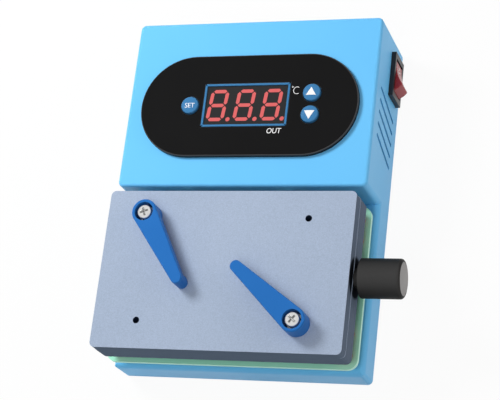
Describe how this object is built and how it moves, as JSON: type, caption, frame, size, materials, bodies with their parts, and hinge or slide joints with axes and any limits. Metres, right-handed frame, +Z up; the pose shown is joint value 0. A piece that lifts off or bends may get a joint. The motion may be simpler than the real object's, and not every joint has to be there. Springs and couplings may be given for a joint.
{
  "type": "pcb preheater",
  "caption": "Bench preheater for small circuit boards: a thick heating plate with swing clamps on a stepped housing with a digital temperature controller.",
  "frame": {"origin": "centre of the outline at rest, on the bench under the rubber feet", "axes": "+X to the right past the handle, +Y to the rear towards the mains inlet, +Z up"},
  "size_m": [0.1284, 0.1516, 0.0547],
  "materials": {
    "shell_blue": "moulded satin sky-blue plastic",
    "base_grey": "moulded grey plastic",
    "steel": "zinc-plated steel",
    "rubber_black": "soft black rubber",
    "panel_black": "smooth black panel",
    "trim_blue": "glossy blue plastic",
    "window_smoke": "smoke-tinted acrylic",
    "display_dark": "dark display housing",
    "pcb_green": "green circuit board",
    "part_black": "black moulded part",
    "part_yellow": "taped winding and core",
    "part_blue": "blue moulded part",
    "part_green": "green moulded part",
    "brass": "bright brass",
    "rocker_red": "translucent red plastic",
    "board_mint": "mint green glass-fibre laminate",
    "sleeve_red": "red insulating plastic",
    "plate_alu": "bead-blasted anodised aluminium",
    "lead_white": "braided glass-fibre sleeving",
    "grip_black": "smooth heat-proof plastic",
    "cap_grey": "grey plastic",
    "arm_blue": "blue anodised aluminium"
  },
  "bodies": {
    "station": {"top_shell": "shell_blue", "base_cover": "base_grey", "base_screws": "steel", "rubber_feet": "rubber_black", "panel_overlay": "panel_black", "window_frame": "trim_blue", "display_window": "window_smoke", "display_module": "display_dark", "control_board": "pcb_green", "control_board_screws": "steel", "key_switches": "part_black", "power_board": "pcb_green", "power_board_screws": "steel", "power_transformer": "part_yellow", "power_relay": "part_blue", "terminal_block": "part_green", "power_inlet": "part_black", "inlet_pins": "brass", "switch_housing": "part_black", "switch_terminals": "brass", "deck_pillars": "brass", "insulation_board": "board_mint", "board_bushes": "sleeve_red", "board_screws": "steel", "plate_sleeves": "sleeve_red", "plate_screws": "steel", "heating_plate": "plate_alu", "heater_rods": "steel", "heater_leads": "lead_white", "temperature_probe": "steel", "lead_grommets": "rubber_black", "handle_stud": "steel", "handle_grip": "grip_black", "handle_cap": "cap_grey", "left_clamp_screw": "steel", "left_clamp_spring": "steel", "right_clamp_screw": "steel", "right_clamp_spring": "steel"},
    "rocker": {"switch_rocker": "rocker_red"},
    "set_key": {"set_button": "trim_blue", "set_plunger": "brass"},
    "up_key": {"up_button": "trim_blue", "up_plunger": "brass"},
    "down_key": {"down_button": "trim_blue", "down_plunger": "brass"},
    "left_lift": {"left_clamp_washer": "steel"},
    "left_arm": {"left_clamp_arm": "arm_blue"},
    "right_lift": {"right_clamp_washer": "steel"},
    "right_arm": {"right_clamp_arm": "arm_blue"}
  },
  "joints": [
    {"name": "switch_rock", "type": "hinge", "parent": "station", "child": "rocker", "pos_m": [0.04465, 0.0562, 0.0133], "axis": [0, 0, -1], "range_deg": [0, 34.6]},
    {"name": "set_press", "type": "slide", "parent": "station", "child": "set_key", "axis": [0, 0, -1], "range_m": [0, 0.0005], "stiffness_N_per_m": 500, "springref_m": -0.0005},
    {"name": "up_press", "type": "slide", "parent": "station", "child": "up_key", "axis": [0, 0, -1], "range_m": [0, 0.0005], "stiffness_N_per_m": 500, "springref_m": -0.0005},
    {"name": "down_press", "type": "slide", "parent": "station", "child": "down_key", "axis": [0, 0, -1], "range_m": [0, 0.0005], "stiffness_N_per_m": 500, "springref_m": -0.0005},
    {"name": "left_clamp_lift", "type": "slide", "parent": "station", "child": "left_lift", "axis": [0, 0, 1], "range_m": [0, 0.0016], "stiffness_N_per_m": 900, "springref_m": -0.001, "deforming": ["left_clamp_spring"]},
    {"name": "left_arm_swing", "type": "hinge", "parent": "left_lift", "child": "left_arm", "pos_m": [-0.04355, -0.0192, 0.04675], "axis": [0, 0, 1], "continuous": true},
    {"name": "right_clamp_lift", "type": "slide", "parent": "station", "child": "right_lift", "axis": [0, 0, 1], "range_m": [0, 0.0016], "stiffness_N_per_m": 900, "springref_m": -0.001, "deforming": ["right_clamp_spring"]},
    {"name": "right_arm_swing", "type": "hinge", "parent": "right_lift", "child": "right_arm", "pos_m": [0.02505, -0.0635, 0.04675], "axis": [0, 0, 1], "continuous": true}
  ]
}
